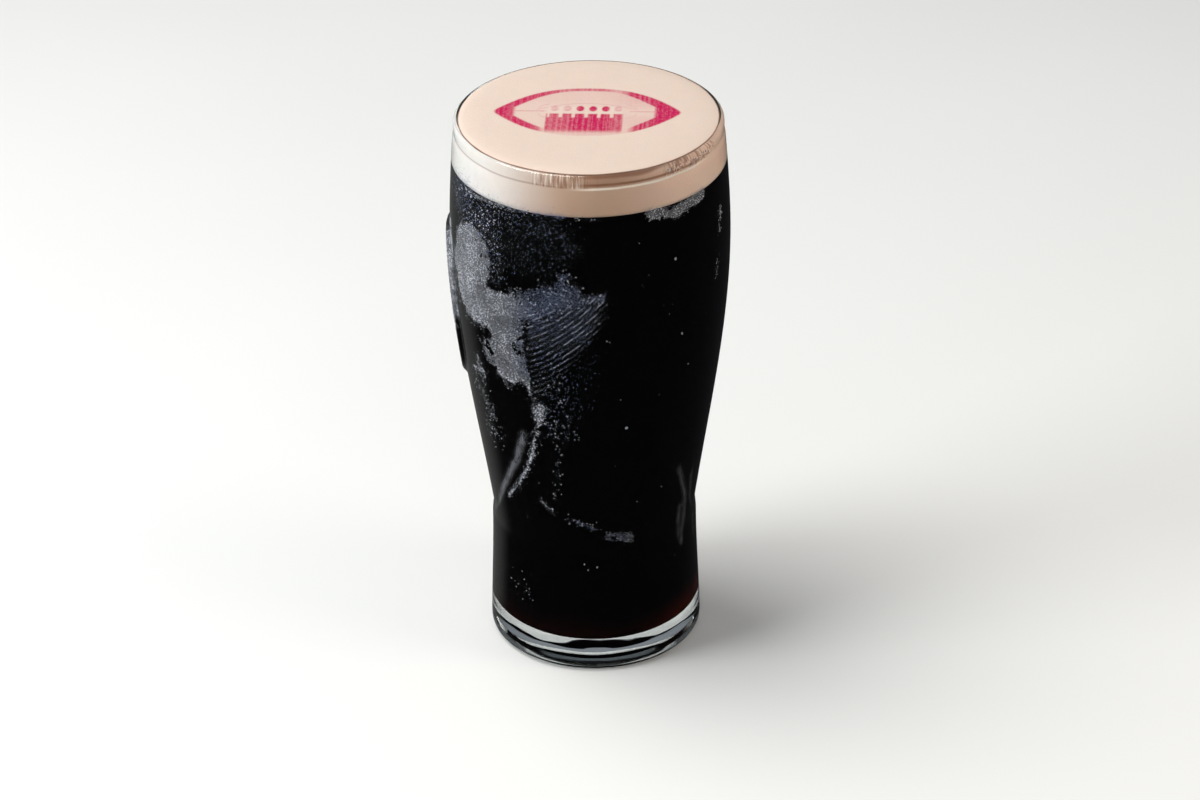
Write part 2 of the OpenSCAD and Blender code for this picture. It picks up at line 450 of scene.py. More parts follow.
def raked_share(phi, z):
    """How much mist the cloth left in lines: more at the top, and none right of a slanting edge."""
    across = along_wall(phi)
    top = 127.5 + 0.38 * (across - WIPE_LEFT)
    right = np.minimum(-10.0 + 0.66 * (z - 108), 2.0)
    sides = smooth(-19.3, -18.3, across) * smooth(right + 2.5, right - 1.0, across)
    return sides * smooth(top + 1.0, top - 1.5, z) * smooth(95, 100, z) * (0.3 + 0.7 * smooth(106, 125, z))


def rake_rise(along):
    """How far a wiped line has risen after running so far along the wall."""
    return 0.55 * along + 0.012 * along**2


def rake_phase(phi, z, pitch):
    """Counts the wiped lines from below: each line's middle is at a whole number and a half."""
    along = np.maximum(along_wall(phi) - WIPE_LEFT, 0.0)
    return (z - rake_rise(along)) / pitch


def mist_field(phi, z):
    """Sheets less most of what the cloth has wiped, trails, the band under the head and faint patches."""
    sheets = strokes_field(phi, z, SHEETS, 3.5) * (1 - 0.9 * wiped_share(phi, z))
    rest = np.maximum(strokes_field(phi, z, TRAILS, 1.6), strokes_field(phi, z, LINE_BAND, 1.1))
    rest = np.maximum(rest, strokes_field(phi, z, PAD_MIST, 2.0))
    return np.maximum(np.maximum(sheets, rest), strokes_field(phi, z, FAINT, 3.0))


def mist_depth(phi, z):
    """How thick the mist is: full on the glass's left side and thinner towards the front and the right."""
    degrees = np.degrees(phi)
    depth = 0.33 + 0.36 * smooth(-20, -42, degrees) + 0.31 * smooth(-50, -60, degrees)
    depth = depth + 0.45 * smooth(-15, -23, degrees) * smooth(107, 100, z)
    return np.minimum(depth + 0.10 * smooth(-20, 8, degrees) + 0.40 * smooth(15, 25, degrees), 1.0)


def jittered(rng, pitch, left, right, low, high):
    """One random point in each square of a grid on the unrolled wall, from left to right in degrees."""
    radius = 40.0
    a = np.arange(math.radians(left), math.radians(right), pitch / radius)
    grid_a, grid_b = np.meshgrid(a, np.arange(low, high, pitch), indexing="ij")
    shift = rng.random((2, *grid_a.shape))
    return (grid_a + shift[0] * pitch / radius).ravel(), (grid_b + shift[1] * pitch).ravel()


def drops_mesh(phi, z, g, radius, stretch, turn, height, sides):
    """A closed lens for each drop: a ring on the wall, a smaller ring, a top and a buried bottom point.
    It is stretched along its turn, the angle from round the glass towards up."""
    a = round_angles(sides)
    edge = np.stack([np.cos(a), np.sin(a), 0 * a], 1)
    shoulder = edge * 0.72 + (0, 0, 0.7)
    unit = np.concatenate([edge, shoulder, [[0, 0, 1.0], [0, 0, -0.3]]])
    here, around, up, out = wall_frame(phi, z, g)
    along = around * np.cos(turn)[:, None] + up * np.sin(turn)[:, None]
    side = np.cross(out, along)
    axes = ((along, radius * stretch), (side, radius), (out, radius * height))
    points = here[:, None] + sum(
        unit[:, i, None] * (axis * size[:, None])[:, None] for i, (axis, size) in enumerate(axes)
    )
    low = np.arange(sides)
    quads = np.stack([low, np.roll(low, -1), np.roll(low, -1) + sides, low + sides], 1)
    tris = np.concatenate([fan(low + sides, 2 * sides), fan(low[::-1], 2 * sides + 1)])
    offset = np.arange(len(phi))[:, None, None] * len(unit)
    return points.reshape(-1, 3), (quads + offset).reshape(-1, 4), (tris + offset).reshape(-1, 3)


# ---- the printed ball


# Millimetres from one stitch of the lace to the next.
LACE_PITCH = 3.7


def comb(u, seed):
    """Streaks across the ball that depend on u alone: the print head's passes."""
    return ripple(u, 0 * u, 1.1, seed) * 0.6 + ripple(u, 0 * u, 0.45, seed + 1) * 0.4


def ball_ink(x, y, d):
    """How much ink lies at a point of the head: a pointed ball of simple shapes with a lace across it.
    Its outline is two arcs, half width * (1 - |x / half length|^fullness), and inset is the way in."""
    turn = d.print_turn
    dx, dy = x - d.print_x, y - d.print_y
    u = dx * math.cos(turn) + dy * math.sin(turn)
    v = -dx * math.sin(turn) + dy * math.cos(turn)
    half, tall, fullness = d.print_length / 2, d.print_width / 2, 2.45
    far = np.abs(u)
    share = np.clip(far / half, 0, 1.2)
    edge = tall * (1 - share**fullness)
    inset = (edge - np.abs(v)) / np.sqrt(1 + (fullness * tall / half * share ** (fullness - 1)) ** 2)
    inside = smooth(-0.3, 0.5, inset) * smooth(half - 0.1, half - 1.3, far + 0.02 * v**2)
    streak = comb(u, 3)
    passes = 0.88 + 0.12 * smooth(0.35, 0.55, streak)
    low = smooth(0.5, -0.5, v)
    thick = 1.9 + 1.5 * smooth(4, 22, far) + 0.9 * smooth(8, 18, u)
    outline = smooth(thick + 0.6, thick - 0.5, inset) * (0.80 + 0.20 * smooth(6, 16, far))
    outline *= (1 - 0.85 * low * smooth(15, 11, far)) * (0.80 + 0.20 * smooth(0.3, 0.55, comb(u, 21)))
    outline *= 1 - 0.35 * smooth(4, 8, u) * smooth(12, 9, u)
    pale = 0.09 + 0.12 * smooth(2, 16, u) * smooth(0, 5, np.abs(v)) + 0.07 * smooth(3, 9, v)
    left_tip = smooth(-20.2, -22.2, u) * 0.92
    right_tip = smooth(18.9, 20.2, u) * (0.82 + 0.18 * smooth(0.35, 0.55, comb(u, 31)))
    right_bar = smooth(0.9, 0.4, np.abs(u - 21.1))
    block = smooth(-12.3, -11.5, u) * smooth(10.9, 10.1, u) * smooth(-0.9, -1.7, v) * passes
    block *= 0.25 + 0.75 * smooth(-14.6, -11.4, v)
    block *= 0.86 + 0.14 * smooth(-6.5, -3.0, u) * smooth(8, 5, u)
    stitch = np.abs(np.mod(u + 0.25, LACE_PITCH) - LACE_PITCH / 2)
    lace = smooth(-11.8, -11.2, u) * smooth(10.6, 10.0, u)
    teeth = smooth(1.15, 1.50, stitch) * smooth(-4.3, -3.2, v) * smooth(3.6, 3.0, v)
    bar = smooth(0.6, 0.3, np.abs(v + 0.3))
    dots = smooth(1.35, 0.95, np.hypot(stitch, (v - 2.1) / 1.55))
    bold = smooth(7.5, 3.8, np.abs(u - 1.5))
    dots = dots * (0.42 + 0.54 * bold) * (1 - 0.35 * (1 - bold) * smooth(1.2, 0.6, np.abs(v - 2.1)))
    upper = smooth(0.5, 0.15, np.abs(v - 5.6 + 0.02 * u**2)) * 0.30 * smooth(16, 14, far)
    seams = smooth(0.5, 0.2, np.abs(v - 0.3)) * smooth(11.8, 12.8, far) * 0.42
    arcs = np.abs(np.abs(v - 0.4) - 4.4 * np.sqrt(np.clip(1 - ((far - 11) / 3.6) ** 2, 0, 1)))
    arcs = smooth(0.55, 0.2, arcs) * smooth(11.0, 11.6, far) * smooth(14.9, 14.2, far) * 0.30
    ink = np.maximum.reduce([outline, left_tip, right_tip, right_bar, block, seams, arcs, upper, pale])
    ink = ink * (1 - lace * np.maximum(teeth, bar) * 0.9)
    ink = np.maximum(ink, lace * dots * (1 - 0.8 * bar))
    return inside * ink * (0.92 + 0.08 * smooth(0.3, 0.6, streak))


# ---- materials


class Shading:
    """A node tree with short ways to add its nodes. Its patterns read where, and x, y and z."""

    def __init__(self, tree, coordinates="Object"):
        self.tree = tree
        self.where = self.node("TexCoord").outputs[coordinates]
        self.x, self.y, self.z = self.node("SeparateXYZ", {0: self.where}).outputs

    def node(self, kind, values=None, **settings):
        """A shader node with its settings, and a value or link for each input that is given."""
        node = self.tree.nodes.new("ShaderNode" + kind)
        for key, value in settings.items():
            setattr(node, key, value)
        for key, value in (values or {}).items():
            self.fill(node.inputs[key], value)
        return node

    def fill(self, socket, value):
        """Links the socket if the value is an output, and sets it otherwise."""
        if isinstance(value, bpy.types.NodeSocket):
            self.tree.links.new(value, socket)
        elif socket.type == "RGBA" and len(value) == 3:
            socket.default_value = (*value, 1.0)
        else:
            socket.default_value = value

    def calc(self, operation, *values):
        """A Math node's output."""
        return self.node("Math", dict(enumerate(values)), operation=operation).outputs[0]

    def times(self, product, *values):
        """The product of all the values."""
        for value in values:
            product = self.calc("MULTIPLY", product, value)
        return product

    def most(self, largest, *values):
        """The largest of all the values."""
        for value in values:
            largest = self.calc("MAXIMUM", largest, value)
        return largest

    def plus(self, first, second):
        return self.calc("ADD", first, second)

    def less(self, first, second):
        return self.calc("SUBTRACT", first, second)

    def swing(self, value, size):
        """A value from 0 to 1, turned into one from minus to plus half the size."""
        return self.calc("MULTIPLY_ADD", value, size, -size / 2)

    def ramp(self, value, low, high, out_low=0.0, out_high=1.0):
        """A smooth Map Range's output."""
        values = {"Value": value, "From Min": low, "From Max": high, "To Min": out_low, "To Max": out_high}
        return self.node("MapRange", values, interpolation_type="SMOOTHSTEP").outputs[0]

    def line(self, value, middle, half):
        """1 at the middle, falling to 0 at the half width from it."""
        return self.ramp(self.calc("ABSOLUTE", self.less(value, middle)), half, half * 0.3)

    def blend(self, share, first, second):
        """A colour Mix's output."""
        return self.node("Mix", {0: share, 6: first, 7: second}, data_type="RGBA").outputs[2]

    def noise(self, scale, detail=2.0, roughness=0.5, where=None):
        """A Noise Texture's value. The scale is in waves per metre."""
        values = {"Vector": where or self.where, "Scale": scale, "Detail": detail, "Roughness": roughness}
        return self.node("TexNoise", values).outputs[0]

    def cells(self, scale, output="Distance"):
        """A Voronoi Texture's distance to the nearest point. The scale is in cells per metre."""
        return self.node("TexVoronoi", {"Vector": self.where, "Scale": scale}).outputs[output]

    def attribute(self, key):
        """The value of one of the mesh's own attributes."""
        return self.node("Attribute", attribute_name=key).outputs["Fac"]


class Surface(Shading):
    """A new material with its one Principled shader."""

    def __init__(self, name, **values):
        self.material = bpy.data.materials.new(name)
        self.material.use_nodes = True
        self.material.node_tree.nodes.clear()
        super().__init__(self.material.node_tree)
        self.shader = self.node("BsdfPrincipled")
        self.tree.links.new(self.shader.outputs[0], self.node("OutputMaterial").inputs[0])
        self.set(**values)

    def set(self, **values):
        """Sets or links the shader's inputs. _ stands for a space in their names."""
        for key, value in values.items():
            self.fill(self.shader.inputs[key.replace("_", " ")], value)

    def bump(self, height, distance, strength):
        """A Bump node on the shader. The distance is in metres."""
        values = {"Height": height, "Distance": distance, "Strength": strength}
        self.set(Normal=self.node("Bump", values).outputs[0])


def misted_glass(g):
    """Clear glass under a film. The mist lies where its attribute, a noise and its coarse cell's value add
    up to enough, so its edge is ragged, and fine cells make it grainy. The dew is the middles of larger
    cells, the raked film lies along the wiped lines, and the noise breaks up the painted glints. Thin film
    takes a painted blue reflection, and the base's darker tint is partly painted shade."""
    n = Surface("misted_glass", IOR=1.5)
    mist, depth, dew, raked, rake, haze = map(n.attribute, MIST_FIELDS)
    grain, speck, blocks = n.cells(2100), n.cells(1200), n.cells(1000, "Color")
    fine = n.noise(420, 5.0, 0.75)
    ragged = n.plus(n.swing(fine, 2.4), n.swing(blocks, 0.6))
    holes = n.times(n.ramp(n.noise(170), 0.64, 0.70), 1.2)
    film = n.ramp(n.less(n.plus(mist, ragged), holes), 0.44, 0.56)
    film = n.times(film, n.ramp(mist, 0.02, 0.15))
    gaps = n.times(n.ramp(mist, 0.60, 0.40, 0.0, 0.85), n.ramp(speck, 0.15, 0.42))
    uneven = n.ramp(n.noise(150, 4.0, 0.65), 0.3, 0.7, 0.45, 1.0)
    grainy = n.ramp(grain, 0.05, 0.6, 1.25, 0.35)
    film = n.times(film, n.less(1.0, gaps), uneven, grainy, depth)

    patchy = n.ramp(n.noise(240, 5.0, 0.7), 0.40, 0.56, 0.10, 1.0)
    thin = n.times(dew, patchy, n.ramp(speck, 0.08, 0.36, 0.88, 0.02))

    tooth = n.calc("PINGPONG", n.plus(rake, n.swing(n.noise(160, 3.0), 0.7)), 0.5)
    stripe = n.times(n.ramp(tooth, 0.20, 0.36), n.ramp(n.noise(250, 3.0), 0.36, 0.55, 0.35, 1.0))
    ground = n.times(n.ramp(raked, 0.55, 1.0), n.ramp(fine, 0.42, 0.6, 0.1, 0.6))
    streaks = n.times(raked, n.most(stripe, ground), grainy, 0.27)

    # Painted highlights: film where the creases and the pad's rim catch the light.
    glints = n.times(haze, n.ramp(fine, 0.40, 0.60, 0.25, 1.0))
    share = n.most(film, thin, streaks, glints)
    # Painted reflection: thin film takes the blue of the cool light it reflects, and thick mist stays pale.
    film_colour = n.blend(n.ramp(depth, 0.25, 0.7), g.dew, g.mist)
    # Partly painted shade: the base's glass is tinted darker, partly as thick glass is and partly to dim
    # the bright floor that it refracts.
    body = n.blend(n.ramp(n.z, 0.014, 0.010), g.tint, g.base_tint)
    n.set(
        Base_Color=n.blend(n.ramp(share, 0.0, 0.06), body, film_colour),
        Transmission_Weight=n.less(1.0, n.times(share, 0.42)),
        Roughness=n.times(share, 0.5),
    )
    waves = n.times(n.noise(75, 1.0), n.ramp(n.z, 0.016, 0.010, 0.0, 3.5))
    n.bump(n.plus(n.times(grain, share), waves), 0.0001, 0.6)
    return n.material


def dark_stout(d):
    """Near-black stout with a painted ruby glow low in the glass, stronger towards the right, in uneven
    patches: painted light that would shine through the stout there.
    """
    n = Surface("dark_stout", IOR=1.34, Specular_IOR_Level=0.0)
    height = n.plus(n.z, n.times(n.noise(45), 0.012))
    # Painted glow: ruby low in the glass and stronger towards the right, where light would shine through
    # the stout.
    share = n.times(n.ramp(height, 0.026, 0.014), n.ramp(n.x, 0.010, 0.028, 0.12, 1.0))
    n.set(Base_Color=n.blend(share, d.stout, d.ruby_glow), Roughness=n.ramp(n.noise(90), 0.3, 0.7, 0.3, 0.4))
    return n.material


def bubbles_and_painted_lip_lines(n, side, d):
    """What shows through the lip's bead, painted on the head's side: at the right a brown band and two dark
    lines, painted refraction, over a painted highlight line;
    upright ticks near the front; a soft dark line of painted refraction at the left; and broken bubbles at
    the far right, each in its range of x."""
    front = n.ramp(n.y, 0.006, -0.006)
    height = n.plus(n.z, n.swing(n.noise(90), 0.0006))
    right = n.times(n.ramp(n.x, -0.008, 0.003), n.ramp(n.x, 0.034, 0.028), front)
    fading = n.ramp(n.x, 0.006, 0.022, 0.36, 0.14)
    lines = n.most(n.line(height, 0.1704, 0.00045), n.line(height, 0.1687, 0.00055))
    left = n.times(n.ramp(n.x, -0.004, -0.012), front)
    upright = n.node("VectorMath", {0: n.where, 1: (1.0, 1.0, 0.06)}, operation="MULTIPLY").outputs[0]
    ticks = n.noise(1500, where=upright)
    ticked = n.times(n.ramp(n.x, -0.0170, -0.0140), n.ramp(n.x, 0.005, -0.006), front)
    ticked = n.times(ticked, n.ramp(height, 0.1672, 0.1677))
    whiter = n.ramp(n.x, 0.000, -0.008, 0.1, 0.85)
    far = n.times(n.ramp(n.x, 0.019, 0.024), n.ramp(n.x, 0.036, 0.033), front)
    far = n.times(far, n.ramp(height, 0.1675, 0.1682), 0.6)
    bubbles = n.cells(1500)
    layers = (
        # Painted refraction: a brown band and two dark lines at the right.
        (n.times(n.ramp(height, 0.1677, 0.1680), right, fading), d.brown),
        (n.times(lines, right, 0.7), d.brown),
        # Painted highlight: a bright line below them, standing in for the highlight on the lip's groove.
        (n.times(n.line(height, 0.1672, 0.0006), right), (1.0, 0.93, 0.82)),
        # Painted refraction: a soft dark line at the left.
        (n.times(n.line(height, 0.1677, 0.0006), left, 0.40), d.brown),
        (n.times(n.ramp(ticks, 0.50, 0.62), ticked, 0.55), d.brown),
        (n.times(n.ramp(ticks, 0.48, 0.38), whiter, ticked), (1.0, 0.95, 0.88)),
        (n.times(n.ramp(bubbles, 0.45, 0.7), far), d.brown),
        (n.times(n.ramp(bubbles, 0.3, 0.1), far), (1.0, 0.92, 0.84)),
    )
    for share, tone in layers:
        side = n.blend(share, side, tone)
    return side


def cream_foam(d):
    """Fine foam: cream on top, tan behind the glass with painted light paler at the left and brighter at
    the right, painted shade and a painted highlight at the lip, faint mottling, tiny pores, and the printed
    ink.
    """
    n = Surface("cream_foam", IOR=1.4, Specular_IOR_Level=0.25)
    n.set(Subsurface_Weight=0.2, Subsurface_Radius=(1.0, 0.65, 0.45), Subsurface_Scale=0.002)
    # Painted light: the side behind the glass is tan at the front, painted paler towards the left and
    # brighter towards the right, where the lamps light it.
    side = n.blend(n.ramp(n.x, -0.004, -0.034), d.tan, d.pale)
    side = n.blend(n.ramp(n.x, 0.002, 0.030), side, d.lit_right_side)
    base = n.blend(n.ramp(n.z, 0.1716, 0.1708), d.cream, bubbles_and_painted_lip_lines(n, side, d))
    mottle = n.ramp(n.noise(130, 4.0, 0.6), 0.3, 0.75, 0.0, 0.12)
    base = n.blend(mottle, base, [c * 0.82 for c in d.cream])
    pores = n.cells(1900)
    base = n.blend(n.ramp(pores, 0.0, 0.35, 0.10, 0.0), base, [c * 0.6 for c in d.tan])
    flat = n.node("CombineXYZ", {0: n.x, 1: n.y}).outputs[0]
    radius = n.node("VectorMath", {0: flat}, operation="LENGTH").outputs["Value"]
    # Painted shade: a dark ring at the head's edge, where it meets the lip.
    edge = n.ramp(n.plus(radius, n.times(n.noise(120, 3.0), 0.0003)), 0.03765, 0.03800)
    base = n.blend(n.times(edge, n.ramp(n.z, 0.1714, 0.1716)), base, d.shaded)
    ink = n.times(n.attribute("ink"), n.ramp(n.noise(1100), 0.2, 0.8, 0.90, 1.12))
    n.set(Base_Color=n.blend(ink, base, d.ink), Roughness=n.ramp(n.noise(300), 0.3, 0.7, 0.68, 0.82))
    n.bump(n.plus(pores, n.noise(500, 3.0)), 0.00008, 0.5)
    return n.material


def water(name, pale, clear, rough):
    """Small beads of water: part clear and part pale, because each one scatters the light."""
    n = Surface(name, IOR=1.33, Transmission_Weight=clear, Roughness=rough)
    tone = n.ramp(n.noise(700), 0.3, 0.7)
    n.set(Base_Color=n.blend(tone, [c * 0.7 for c in pale], pale))
    return n.material


# ---- operators


class STOUT_OT_glass(bpy.types.Operator):
    """The waisted glass with its scoops, pad, beaded lip and solid base, as one closed skin"""

    bl_idname = "stout.glass"
    bl_label = "Glass"

    def execute(self, context):
        g = in_mm("stout_glass")
        phi = round_angles(g.columns)
        ring_out = g.foot_radius - g.heel
        ring_in = ring_out - g.ring
        punt_r = ring_in - g.punt
        low = [[8, g.punt], [16, g.punt], [punt_r - 0.3, g.punt], [punt_r, g.punt - 0.1],
               [ring_in - 0.1, 0.1], [ring_in + 0.2, 0.0], [ring_out - 0.3, 0.0]]
        low = np.concatenate([low, arc(ring_out, g.heel, g.heel, -90, 0, 7)[:-1]])
        lip_z = g.height - g.wall / 2
        fine_z = g.height - 6
        outer_z = np.concatenate([np.linspace(g.heel, fine_z, 182)[:-1], np.linspace(fine_z, lip_z, 13)])
        lip_r = float(bowl_radius(np.array(lip_z), g)) - g.wall / 2
        lip = arc(lip_r, lip_z, g.wall / 2, 0, 180, 13)[1:-1]
        inner_z = np.linspace(lip_z, g.base + g.floor_fillet, 62)
        inner = np.stack([inside_radius(inner_z, g), inner_z], 1)
        floor_r = inner[-1, 0] - g.floor_fillet
        floor = arc(floor_r, g.base + g.floor_fillet, g.floor_fillet, 0, -90, 6)[1:]
        floor = np.concatenate([floor, [[CORE, g.base], [8.0, g.base]]])
        outer = polar(outside_radius(phi[None], outer_z[:, None], g), phi[None], outer_z[:, None])
        rest = np.concatenate([lip, inner, floor])
        under, within = (polar(line[:, :1], phi[None], line[:, 1:]) for line in (low, rest))
        mesh = revolved_mesh(np.concatenate([under, outer, within]), g.punt, g.base)
        around, up = np.mod(phi + math.pi, 2 * math.pi)[None] - math.pi, outer_z[:, None]
        values = (
            mist_field(around, up),
            mist_depth(around, up),
            strokes_field(around, up, DEW, 4.0),
            raked_share(around, up),
            rake_phase(around, up, g.wipe_pitch),
            strokes_field(around, up, PAINTED_GLINTS, 1.2),
        )
        before, after = len(low) * g.columns, len(rest) * g.columns + 2
        fields = {key: np.pad(value.ravel(), (before, after)) for key, value in zip(MIST_FIELDS, values)}
        add_piece("pint_glass", *mesh, "clear_glass", misted_glass(g), ("glass",), fields)
        return {"FINISHED"}


class STOUT_OT_stout(bpy.types.Operator):
    """The stout, from the glass's floor up to the head. It reaches just into the wall, and stands a hair
    clear of the floor, so that the base carries light as a solid base does"""

    bl_idname = "stout.stout"
    bl_label = "Stout"

    def execute(self, context):
        g, d = in_mm("stout_glass"), in_mm("stout_drink")
        phi = round_angles(192)
        clear, overlap = 0.08, 0.1
        low, high = g.base + clear, d.line + overlap
        side_z = np.linspace(g.base + g.floor_fillet, d.line, 72)
        floor_r = float(inside_radius(side_z[:1], g)[0]) - g.floor_fillet
        round_a = np.radians(np.linspace(-90, 0, 9))[:-1]
        deep = g.floor_fillet + np.interp(np.degrees(round_a), (-90, -45), (-clear, d.reach))
        floor_z = g.base + g.floor_fillet + deep * np.sin(round_a)
        floor = np.stack([floor_r + deep * np.cos(round_a), floor_z], 1)
        side = np.stack([inside_radius(side_z, g) + d.reach, side_z], 1)
        top = [[side[-1, 0] - 0.2, high], [CORE, high]]
        outline = np.concatenate([[[CORE / 2, low], [CORE, low]], floor, side, top])
        mesh = revolved_mesh(polar(outline[:, :1], phi[None], outline[:, 1:]), low, high)
        add_piece("stout_body", *mesh, "dark_stout", dark_stout(d), ("stout",))
        return {"FINISHED"}


class STOUT_OT_head(bpy.types.Operator):
    """The cream head with the printed ball on its dome"""

    bl_idname = "stout.head"
    bl_label = "Head"

    def execute(self, context):
        g, d = in_mm("stout_glass"), in_mm("stout_drink")
        rise = d.dome_top - d.dome_edge
        # The dome angle, in degrees, where the grid on top hands over to the rings.
        start = 41

        # At dome angle a the radius is radius * sin(a)^(2/power) and the height edge + rise * cos(a).
        a = np.radians(np.linspace(start, 90, 11))
        dome_r, dome_z = d.dome_radius * np.sin(a) ** (2 / d.dome_power), d.dome_edge + rise * np.cos(a)
        inner_r, n = dome_r[0], 250
        line = np.linspace(-1, 1, n + 1)
        a, b = np.meshgrid(line, line, indexing="ij")
        x, y = inner_r * a * np.sqrt(1 - b * b / 2), inner_r * b * np.sqrt(1 - a * a / 2)
        share = np.clip(np.hypot(x, y) / d.dome_radius, 0, 1) ** d.dome_power
        top = np.stack([x, y, d.dome_edge + rise * np.sqrt(1 - share)], -1).reshape(-1, 3)
        k = np.arange(n)
        corner = (k[:, None] * (n + 1) + k).reshape(-1, 1)
        top_quads = corner + (0, n + 1, n + 2, 1)
        border = np.concatenate([k * (n + 1), n * (n + 1) + k, (n - k) * (n + 1) + n, n - k])
        around = np.arctan2(top[border, 0], -top[border, 1])
        lip_z, low = g.height - g.wall / 2, d.line - 0.05
        side_z = np.linspace(lip_z, low, 12)
        dome = np.stack([dome_r, dome_z], 1)[1:]
        side = np.stack([inside_radius(side_z, g) + d.reach, side_z], 1)
        outline = np.concatenate([dome, side, [[CORE, low]]])
        wobble = 1 - 0.003 * ripple(40 * np.cos(around), 40 * np.sin(around), 9.0, 8)
        tuck = np.where(outline[:, 1:] > lip_z + 0.2, wobble, 1.0)
        rings = polar(outline[:, :1] * tuck, around[None], outline[:, 1:])
        count = len(top)
        points = np.concatenate([top, rings.reshape(-1, 3), [[0, 0, low]]])
        columns = len(border)
        first = count + np.arange(columns)
        joint = np.stack([np.roll(border, -1), border, first, np.roll(first, -1)], 1)
        quads = revolved_faces(len(outline), columns, count)[:, ::-1]
        last = first + (len(outline) - 1) * columns
        tris = fan(last[::-1], len(points) - 1)
        x, y, z = points.T
        swell = 0.10 * (ripple(x, y, 16.0, 4) - 0.5) * (z > g.height + 0.4)
        points[:, 2] += np.minimum(swell, 0.0) * smooth(0, 6, inner_r - np.hypot(x, y))
        ink = np.zeros(len(points))
        ink[:count] = ball_ink(top[:, 0], top[:, 1], d)
        quads = np.concatenate([top_quads, joint, quads])
        add_piece("cream_head", points, quads, tris, "cream_foam", cream_foam(d), ("head",), {"ink": ink})
        return {"FINISHED"}


class STOUT_OT_mist_beads(bpy.types.Operator):
    """The fine beads that make up the mist on the wall"""

    bl_idname = "stout.mist_beads"
    bl_label = "Mist beads"

    def execute(self, context):
        g, s = in_mm("stout_glass"), in_mm("stout_drops")
        rng = np.random.default_rng(s.seed)
        phi, z = jittered(rng, s.bead_pitch, -95, 75, 18, 164)
        mist = mist_field(phi, z)
        clumps = smooth(0.40, 0.60, ripple(along_wall(phi), z, 3.0, 2))
        keep = rng.random(len(phi)) < mist * (1.0 - 0.45 * mist) * (0.25 + 0.75 * clumps)
        phi, z = phi[keep], z[keep]
        radius = s.bead_radius * (0.55 + 0.8 * rng.random(len(phi)) ** 1.5)
        turn = rng.random(len(phi)) * math.pi
        mesh = drops_mesh(phi, z, g, radius, 1 + 0.3 * rng.random(len(phi)), turn, 0.55, 6)
        add_piece("mist_beads", *mesh, "water_drops", water("mist_water", s.water, 0.82, 0.2))
        return {"FINISHED"}


class STOUT_OT_fine_beads(bpy.types.Operator):
    """The finest beads, on the wall under the head where the mist is thin"""

    bl_idname = "stout.fine_beads"
    bl_label = "Fine beads"

    def execute(self, context):
        g, s = in_mm("stout_glass"), in_mm("stout_drops")
        rng = np.random.default_rng(s.seed + 1)
        phi, z = jittered(rng, s.fine_pitch, -80, 60, 60, 162)
        zone = strokes_field(phi, z, DEW, 5.0)
        below = 0.10 * wiped_share(phi, z) + 0.30 * strokes_field(phi, z, WIPE_EDGE, 3.0)
        clumps = smooth(0.35, 0.6, ripple(along_wall(phi), z, 2.2, 6))
        keep = rng.random(len(phi)) < np.maximum(zone, below) * (0.25 + 0.75 * clumps)
        phi, z = phi[keep], z[keep]
        radius = s.fine_radius * (0.6 + 0.9 * rng.random(len(phi)) ** 2)
        turn = rng.random(len(phi)) * math.pi
        mesh = drops_mesh(phi, z, g, radius, 1 + 0 * radius, turn, 0.6, 6)
        add_piece("fine_beads", *mesh, "water_drops", water("fine_water", s.fine_water_blue_sheen, 0.68, 0.15))
        return {"FINISHED"}


class STOUT_OT_wiped_lines(bpy.types.Operator):
    """Rows of beads along the curved lines that a cloth left in the mist"""

    bl_idname = "stout.wiped_lines"
    bl_label = "Wiped lines"

    def execute(self, context):
        g, s = in_mm("stout_glass"), in_mm("stout_drops")
        rng = np.random.default_rng(s.seed + 2)
        first_line, last_line = 46, 67
        low = g.wipe_pitch * (np.arange(first_line, last_line + 1)[:, None] + 0.5)
        steps = np.arange(0, 24, 0.42)[None]
        jitter = rng.random((len(low), steps.shape[1]))
        along = steps + 0.2 * jitter
        z = low + rake_rise(along) + 0.10 * rng.standard_normal(along.shape)
        phi = np.radians((along + WIPE_LEFT) / DEGREE)
        clumps = smooth(0.35, 0.6, ripple(along, 3 * low, 4.0, 19))
        keep = rng.random(along.shape) < raked_share(phi, z) * clumps
        turn = np.arctan(0.55 + 0.024 * along)[keep]
        phi, z = phi[keep], z[keep]
        radius = s.bead_radius * (0.5 + 0.4 * rng.random(len(phi)))
        mesh = drops_mesh(phi, z, g, radius, 1.6 + 0.8 * rng.random(len(phi)), turn, 0.6, 7)
        add_piece("wiped_lines", *mesh, "water_drops", water("wiped_water", s.water, 0.85, 0.2))
        return {"FINISHED"}


